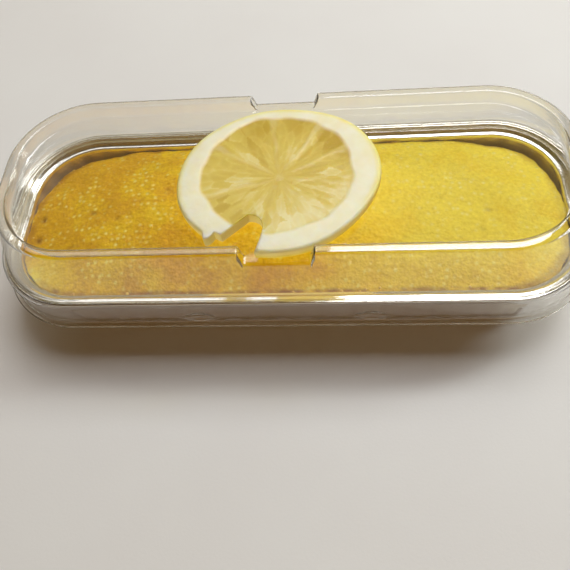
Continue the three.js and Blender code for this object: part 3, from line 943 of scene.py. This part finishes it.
edge_on = node(
    tree,
    "ShaderNodeMapRange",
    {"Value": grazing.outputs[0], "From Min": 0.06, "From Max": 0.6, "To Max": 0.72},
)
sheet_look = node(
    tree, "ShaderNodeMixShader", {0: edge_on.outputs[0], 1: pet.outputs[0], 2: thin.outputs[0]}
)
either = node(
    tree, "ShaderNodeMixShader", {0: soft_ray.outputs[0], 1: sheet_look.outputs[0], 2: straight.outputs[0]}
)
tree.links.new(either.outputs[0], surface)
print("made", clear_sheet.name)

# %% [markdown]
# ## The lid
# From its free edge inwards the lid is a narrow flange, a skirt with four small dents that grip the tin's
# bead, a shoulder on the rim, a leaning wall, a raised stacking lip in two halves, and a sunk flat top.
# Every bend was pulled round a mould, so every bend is a small curve of several rings, because those curves
# are what catches the light. The skin is the outer face, and a Solidify modifier gives it the thickness of
# the sheet.

# %% Rule of the lid
sheet, top_length, top_width, top_corner = 0.4, 179.4, 64.2, 26.2
skirt_low, skirt_out, lid_flange = lid_low[2], 0.85, 1.5
lip_top, lip_height, lip_gap, lip_run = skirt_low + 31.3, 4.3, 18.4, 2.0
lid_floor = lip_top - lip_height
shoulder_z, wall_foot_z, wall_foot = rim_z + 0.7, rim_z + 1.3, 1.0
snap_x, snap_half, snap_depth, snap_z = 27.0, 5.0, 0.8, rim_z - 7.4
foot_plan = (rim_length - 2 * wall_foot, rim_width - 2 * wall_foot, rim_corner - wall_foot)
top_plan = (top_length, top_width, top_corner)

stretch = (rim_length / 2 - rim_corner) / (top_length / 2 - top_corner)
# Stations stand closer where the lip ends and at the dents that snap.
ends = np.array([-1.0, -0.4, 0, 0.2, 0.4, 0.6, 0.8, 1.0, 1.2, 1.4, 1.6, 1.8, 2.0, 2.3, 2.7]) + lip_gap / 2
dents = snap_x + np.linspace(-1.2, 1.2, 17) * snap_half
marks = np.concatenate([ends * stretch, dents])
marks = np.concatenate([marks, -marks, rim_round / 2 + marks, rim_round / 2 - marks]) % rim_round
even = np.arange(0, rim_round, 1.7)
even = even[np.abs(even[:, None] - marks).min(1) > 0.5]
stations = np.sort(np.concatenate([even, marks]))
shares, out, _ = places_round(*rim_plan, stations)
x_top = shares[:, 0] * (top_length / 2 - top_corner)
on_side = np.abs(out[:, 1]) > 0.999
lip_share = smoothstep(np.abs(x_top), lip_gap / 2, lip_gap / 2 + lip_run)
lip_share[~on_side] = 1
x_low = shares[:, 0] * (rim_length / 2 - rim_corner)
print(len(stations), "stations round the lid")


def wall_plan(z):
    """The plan of the leaning wall at a height."""
    t = (z - wall_foot_z) / (lip_top - wall_foot_z)
    return tuple(f + (e - f) * t for f, e in zip(foot_plan, top_plan))


def lip_ring(inset, drop, gap_drop):
    """A ring of the lip: so far under the lip's top where it stands, and under the sunk top in the gaps."""
    high = ring(shares, out, wall_plan(lip_top), inset, lip_top + drop)
    low = ring(shares, out, wall_plan(lid_floor), inset, lid_floor + gap_drop)
    return low + (high - low) * lip_share[:, None]


# %% Make the lid
# Each pair below is an inset and a height or a drop, for one ring round a bend of the sheet.
lid_rings = []
wave = lumps(ring(shares, out, rim_plan, 0, 0), 19.0, 2.2)
flange_bend = ((-lid_flange, 0.4), (-lid_flange + 0.5, 0.42), (-0.6, 0.42), (-0.25, 0.5), (-0.05, 0.75))
for inset, z in flange_bend:
    lift = 0.3 * wave * min(1, -inset / lid_flange)
    lid_rings.append(ring(shares, out, rim_plan, -skirt_out + inset - lift * 0.5, skirt_low + z + lift))
upper_skirt = rim_z - np.array([4.0, 2.5, 1.1])
for z in (skirt_low + 1.1, *np.linspace(snap_z - 1.8, snap_z + 2.2, 11), *upper_skirt):
    oval = ((np.abs(x_low) - snap_x) / snap_half) ** 2 + ((z - snap_z - 0.2) / 1.9) ** 2
    dent = snap_depth * np.clip(1 - oval, 0, 1) ** 0.7 * on_side
    lid_rings.append(ring(shares, out, rim_plan, -skirt_out + dent, z))
for inset, z in ((0.02, -1.0), (0.12, -0.55), (0.35, -0.2), (0.7, -0.03), (1.05, 0)):
    lid_rings.append(ring(shares, out, rim_plan, -skirt_out + inset, shoulder_z + z))
for inset, z in ((-0.4, 0), (-0.18, 0.08), (-0.05, 0.28)):
    lid_rings.append(ring(shares, out, foot_plan, inset, shoulder_z + z))
foot, head = ring(shares, out, foot_plan, 0, wall_foot_z), lip_ring(0.0, -1.0, -1.0)
lid_rings += [foot + (head - foot) * t for t in np.linspace(0, 1, 9)]
lip_over = ((0.08, -0.7), (0.3, -0.37), (0.65, -0.16), (1.0, -0.09), (1.6, -0.06), (2.2, -0.03), (2.85, 0))
for inset, drop in lip_over:
    lid_rings.append(lip_ring(inset, drop, drop))
lip_inside = ((3.2, -0.1), (3.43, -0.34), (3.52, -0.7), (3.56, -2.0), (3.62, -3.4), (3.72, -3.95))
for inset, drop in (*lip_inside, (3.98, -4.22), (4.35, -4.3)):
    lid_rings.append(lip_ring(inset, drop, 0.0))
sunk = ring(shares, out, top_plan, 5.4, lid_floor)
lid_rings.append(sunk)
for scale in np.linspace(0.96, 0.04, 24):
    flat = sunk * (scale, scale, 1)
    flat[:, 2] += 0.05 * (1 - scale**8) * lumps(flat, 26.0, 4.4)
    lid_rings.append(flat)
points, faces = loft(lid_rings, shut_first=False)
lid = build("clear_lid_formed", points, faces, clear_sheet)
thick = lid.modifiers.new("sheet", "SOLIDIFY")
thick.thickness = sheet * MM
thick.offset = -1.0
settle(lid)
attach(lid, "root")
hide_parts("clear_lid")
print("lid:", triangles(lid), "triangles")

# %% [markdown]
# ## Lemon
# A slice of lemon has three parts: a thin oily yellow rind, a spongy cream pith, and the pulp, which is
# hundreds of juice sacs packed into segments between white membranes. The sacs are too fine for the mesh,
# so each is a tone of its own. Cut pulp is wet and lets light in, so it has a coat and much subsurface
# scattering, its edge is partly translucent, and it throws only a thin shadow. One material holds the
# three, blended by numbers that the mesh carries at each point, so the borders lie exactly where the mesh
# rises and falls.

# %% Lemon material
lemon, tree, surface = material("lemon_rind_pith_and_pulp")
place = node(tree, "ShaderNodeTexCoord").outputs["Object"]
rind, pulp, tone, side = (
    node(tree, "ShaderNodeAttribute", attribute_name=name).outputs["Fac"]
    for name in ("rind", "pulp", "tone", "side")
)
blotch = node(tree, "ShaderNodeTexNoise", {"Vector": place, "Scale": 1 / (5 * MM), "Detail": 3.0})
pith = node(
    tree, "ShaderNodeValToRGB", {"Fac": blotch.outputs[0]}, stops=[(0.35, "#F6EFCF"), (0.65, "#FAF5DE")]
).outputs["Color"]
gold = node(
    tree, "ShaderNodeValToRGB", {"Fac": tone}, stops=[(0.0, "#CBAC36"), (0.5, "#E2CF66"), (1.0, "#F6F0C2")]
).outputs["Color"]
oil = node(
    tree, "ShaderNodeValToRGB", {"Fac": blotch.outputs[0]}, stops=[(0.35, "#EFDB3C"), (0.65, "#F6E86C")]
).outputs["Color"]
flesh = node(tree, "ShaderNodeMix", {0: pulp, 6: pith, 7: gold}, data_type="RGBA")
whole = node(tree, "ShaderNodeMix", {0: rind, 6: flesh.outputs[2], 7: oil}, data_type="RGBA")
wet = node(tree, "ShaderNodeMapRange", {"Value": pulp, "To Min": 0.5, "To Max": 0.32})
fibre = node(tree, "ShaderNodeTexNoise", {"Vector": place, "Scale": 1 / (0.8 * MM), "Detail": 2.0})
soft = node(tree, "ShaderNodeBump", {"Strength": 0.25, "Distance": 0.25 * MM, "Height": fibre.outputs[0]})
cut = node(
    tree,
    "ShaderNodeBsdfPrincipled",
    {
        "Base Color": whole.outputs[2],
        "Roughness": wet.outputs[0],
        "Subsurface Weight": 0.9,
        "Subsurface Radius": (1.0, 0.85, 0.5),
        "Subsurface Scale": 4.5 * MM,
        "Coat Weight": 0.3,
        "Coat Roughness": 0.28,
        "Normal": soft.outputs[0],
    },
)
lit_through = node(tree, "ShaderNodeBsdfTranslucent", {"Color": whole.outputs[2]})
fruit = node(tree, "ShaderNodeMixShader", {0: side, 1: cut.outputs[0], 2: lit_through.outputs[0]})
glow = node(tree, "ShaderNodeBsdfTransparent", {"Color": colour("#F2ECCB")})
path = node(tree, "ShaderNodeLightPath")
let_through = node(
    tree, "ShaderNodeMath", {0: path.outputs["Is Shadow Ray"], 1: 0.93}, operation="MULTIPLY"
)
juicy = node(
    tree, "ShaderNodeMixShader", {0: let_through.outputs[0], 1: fruit.outputs[0], 2: glow.outputs[0]}
)
tree.links.new(juicy.outputs[0], surface)
print("made", lemon.name)

# %% [markdown]
# ## The slice
# The slice is an oval with a bite out of its front left, torn a little where the pith gave way. Its outline
# comes first, at even steps. The cut face is a fine net of triangles inside that outline, so that membranes
# can stand up and the pulp can sink between them. Rings from the outline round the edge over and down to
# the flat underside.

# %% Outline of the slice
slice_long, slice_short, slice_turn = 31.2, 27.4, 0.395
slice_middle = np.array([-0.7, -2.6])
bite_start, bite_end = -2.36, -1.76


def bend(start, lean, stop, count=14):
    """Points along a curve from one point to another that leans towards a third."""
    t = np.linspace(0, 1, count)[:, None]
    return (1 - t) ** 2 * np.array(start) + 2 * t * (1 - t) * np.array(lean) + t * t * np.array(stop)


def distance_to(line, spots):
    """How far each spot is from the nearest point of a line."""
    return np.array([np.hypot(*(line - p).T).min() for p in spots])


def evenly(line, step):
    """A closed line resampled at about even steps."""
    line = np.vstack([line, line[:1]])
    run = np.append(0, np.cumsum(np.hypot(*np.diff(line, axis=0).T)))
    places = np.linspace(0, run[-1], int(run[-1] / step) + 1)[:-1]
    return np.column_stack([np.interp(places, run, line[:, 0]), np.interp(places, run, line[:, 1])])


turns = np.linspace(bite_end, bite_start + 2 * math.pi, 400)
tilted = turns - slice_turn
wobble = 1 - 0.026 * np.sin(2 * tilted) + 0.006 * np.sin(3 * turns + 0.8)
wobble += 0.004 * np.sin(7 * turns + 2.0)
wobble += 0.05 * np.exp(-(((turns + 1.35) / 0.5) ** 2))
oval = np.hypot(slice_short * np.cos(tilted), slice_long * np.sin(tilted))
radius = slice_long * slice_short / oval * wobble
peel = slice_middle + radius[:, None] * np.column_stack([np.cos(turns), np.sin(turns)])
nick = [(-21.2, -26.2), (-20.0, -25.9), (-19.0, -25.0), (-18.2, -23.7), (-17.3, -24.3), (-16.2, -24.8)]
bite_left = bend((-16.2, -24.8), (-12.6, -21.4), (-8.6, -17.8))
bite_right = bend((-8.6, -17.8), (-4.6, -17.9), (-4.0, -22.6))
bite = np.vstack([nick, bite_left, bite_right])
outline = evenly(np.vstack([peel, bite]), 0.42)
ahead = np.roll(outline, -1, 0) - np.roll(outline, 1, 0)
aside = np.column_stack([ahead[:, 1], -ahead[:, 0]]) / np.hypot(*ahead.T)[:, None]
peel_line = evenly(np.vstack([peel, peel[::-1]]), 0.4)
crisp = smoothstep(distance_to(bite, outline), 0.5, 4.0)
softness = 0.25 + 0.75 * crisp
print(len(outline), "points round the slice")

# %% Rind, pith, membranes and pulp at any point
pulp_middle, pulp_half = np.array([-1.0, -1.9]), np.array([23.6, 23.1])
core = np.array([-0.1, -3.9])
membrane_turns = np.radians([148, 98, 60, 29, -9, -51, -70, -118, -164])
membrane_shows = (0.5, 0.35, 0.8, 0.4, 0.55, 0.4, 0.3, 0.4, 0.55)


def parts_of_slice(flat):
    """Shares of rind, pulp and membrane at points of the slice's plan."""
    off = (flat - pulp_middle) / pulp_half
    turn = np.arctan2(off[:, 1], off[:, 0])
    scallop = 1 + 0.012 * np.sin(5 * turn + 1.0) + 0.01 * np.sin(9 * turn) + 0.008 * np.sin(16 * turn)
    reach = np.hypot(*off.T) * scallop
    pulp = 1 - smoothstep(reach, 0.95, 1.02)
    away = flat - core
    membrane = 0.4 * (1 - smoothstep(np.hypot(*away.T), 0.3, 2.2))
    for turn, shows in zip(membrane_turns, membrane_shows):
        way = np.array([math.cos(turn), math.sin(turn)])
        along = away @ way
        sway = np.array([noise.noise(Vector((a / 6, turn * 9, 0.5))) for a in along])
        across = np.abs(away @ np.array([-way[1], way[0]]) + 1.2 * sway)
        width = 0.1 + 0.5 * smoothstep(along, 15, 24)
        shown = shows * (0.75 + sway) * smoothstep(along, 0, 8)
        membrane = np.maximum(membrane, shown * (1 - smoothstep(across, width, width + 0.9)))
    nearest = distance_to(peel_line, flat)
    rind = 0.75 * (1 - smoothstep(nearest, 0.3, 2.4)) * (1 - 0.75 * smoothstep(-flat[:, 1], 8, 20))
    return rind, pulp * (1 - 0.4 * membrane), membrane * pulp


def from_core(flat):
    """The direction and the distance of points from the slice's core."""
    away = flat - core
    return np.arctan2(away[:, 1], away[:, 0]), np.hypot(*away.T)


def streaks(flat):
    """Streaks that point at the core: broad and thin ones, between about -1 and 1."""
    turn, far = from_core(flat)
    rows = []
    for k, run in ((4, 14), (10, 12)):
        spots = np.column_stack([np.cos(turn) * k, np.sin(turn) * k, far / run])
        rows.append(np.array([noise.noise(Vector(spot)) for spot in spots]))
    return rows


def sacs(flat):
    """Juice sacs, long cells that point at the core: each one's shade, and how near a point is to a seam."""
    turn, far = from_core(flat)
    shades, seams = [], []
    for t, r in zip(turn, far):
        near, spots = noise.voronoi(Vector((math.cos(t) * 7, math.sin(t) * 7, r / 5.5)))
        shades.append(noise.noise(spots[0] * 5.3))
        seams.append(near[1] - near[0])
    away_from_core = smoothstep(far, 2, 9)
    return np.array(shades) * away_from_core, (1 - smoothstep(np.array(seams), 0.0, 0.35)) * away_from_core


def pulp_tone(flat):
    """How light the pulp's tone is: streaked, deeper at the back edge, and lighter towards the front right,
    where a painted sheen stands for the wet shine.
    """
    broad, thin = streaks(flat)
    shade, seam = sacs(flat)
    away = flat - core
    far = from_core(flat)[1]
    # A painted sheen: the pulp is lighter towards the front right, where the wet cut face shines.
    painted_sheen = smoothstep(away @ np.array([0.5, -0.87]), 4, 19)
    deep = smoothstep(away @ np.array([0.3, 0.95]), 2, 14) * smoothstep(far, 12, 22)
    burst = np.exp(-((flat - np.array([16.0, 10.5])) ** 2).sum(1) / 14)
    streaky = 0.18 * broad + 0.12 * thin + 0.32 * shade + 0.1 * seam
    return 0.42 + streaky + 0.28 * painted_sheen - 0.26 * deep + burst * (0.5 * thin - 0.12)


print(len(membrane_turns), "membranes in the pulp")


# %% Make the slice
# Insets and drops from the cut face round the edge and down the side.
rounding = (
    (1.0, 0.0), (0.7, -0.06), (0.44, -0.2), (0.22, -0.44), (0.06, -0.8), (0.0, -1.2), (0.03, -2.0),
    (0.1, -2.8), (0.3, -3.6), (0.5, -4.0), (0.9, -4.2),
)
face_line = outline - aside * (rounding[0][0] * softness)[:, None]
mesh_step, row_share = 0.42, 0.866
columns = np.arange(outline[:, 0].min(), outline[:, 0].max(), mesh_step)
rows = np.arange(outline[:, 1].min(), outline[:, 1].max(), mesh_step * row_share)
grid = np.array([(x + (j % 2) * mesh_step / 2, y) for j, y in enumerate(rows) for x in columns])
grid = grid[distance_to(face_line, grid) > 0.3]
net = delaunay_2d_cdt(
    [Vector(p) for p in np.vstack([face_line, grid])],
    [(i, (i + 1) % len(face_line)) for i in range(len(face_line))], [], 1, 1e-5,
)
flat = np.array([tuple(p) for p in net[0]])
rind, pulp, membrane = parts_of_slice(flat)
pulp_sink, membrane_rise, streak_rise = 0.3, 0.05, 0.05
sunk = -pulp_sink * pulp + membrane_rise * membrane + streak_rise * pulp * streaks(flat)[1]
fibres = np.array([noise.noise(Vector((*p, 0.0)) / 1.6) for p in flat])
points = np.column_stack([flat, slice_top + sunk + 0.04 * fibres - 0.04])
count = len(face_line)
points[:count, 2] = slice_top - 0.03
faces = [tuple(f) for f in net[2]]
print("net of", len(points), "points, edge kept:", np.allclose(flat[:count], face_line, atol=1e-4))
all_points, above = [points], list(range(count))
for inset, drop in rounding[1:]:
    first = sum(len(p) for p in all_points)
    rough = 0.06 * np.array([noise.noise(Vector((*p, drop)) / 1.1) for p in outline])
    here = outline - aside * (inset * softness + np.abs(rough))[:, None]
    all_points.append(np.column_stack([here, np.full(count, slice_top + drop)]))
    below = list(range(first, first + count))
    for j in range(count):
        k = (j + 1) % count
        faces.append((above[j], below[j], below[k], above[k]))
    above = below
under = delaunay_2d_cdt(
    [Vector(p[:2]) for p in all_points[-1]], [(i, (i + 1) % count) for i in range(count)], [], 1, 1e-6
)
first = sum(len(p) for p in all_points)
faces += [tuple(first + i for i in reversed(face)) for face in under[2]]
all_points.append(np.array([(*p, slice_top + rounding[-1][1]) for p in under[0]]))
points = np.vstack(all_points)
rind, pulp, membrane = parts_of_slice(points[:, :2])
peel_reach = 1.6
from_peel = distance_to(peel_line, points[:, :2])
bitten = (from_peel > peel_reach) & (points[:, 2] < slice_top - 0.7)
pulp[bitten] = 1
tone = pulp_tone(points[:, :2])
# Painted light: the bite's wall gets a light tone, for the light that comes through the thin pulp there.
tone[bitten] = 0.9
drop = slice_top - points[:, 2]
on_peel = from_peel < peel_reach
rind = np.maximum(rind, 0.9 * on_peel * smoothstep(drop, 0.7, 3.6))
lemon_slice = build("lemon_slice_cut", points, faces, lemon)
side = 0.75 * smoothstep(drop, 0.3, 1.2)
for name, values in (("rind", rind), ("pulp", pulp), ("tone", tone), ("side", side)):
    set_attribute(lemon_slice.data, name, values)
close_up(lemon_slice)
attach(lemon_slice, "root")
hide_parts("lemon_slice")
print("slice:", triangles(lemon_slice), "triangles")
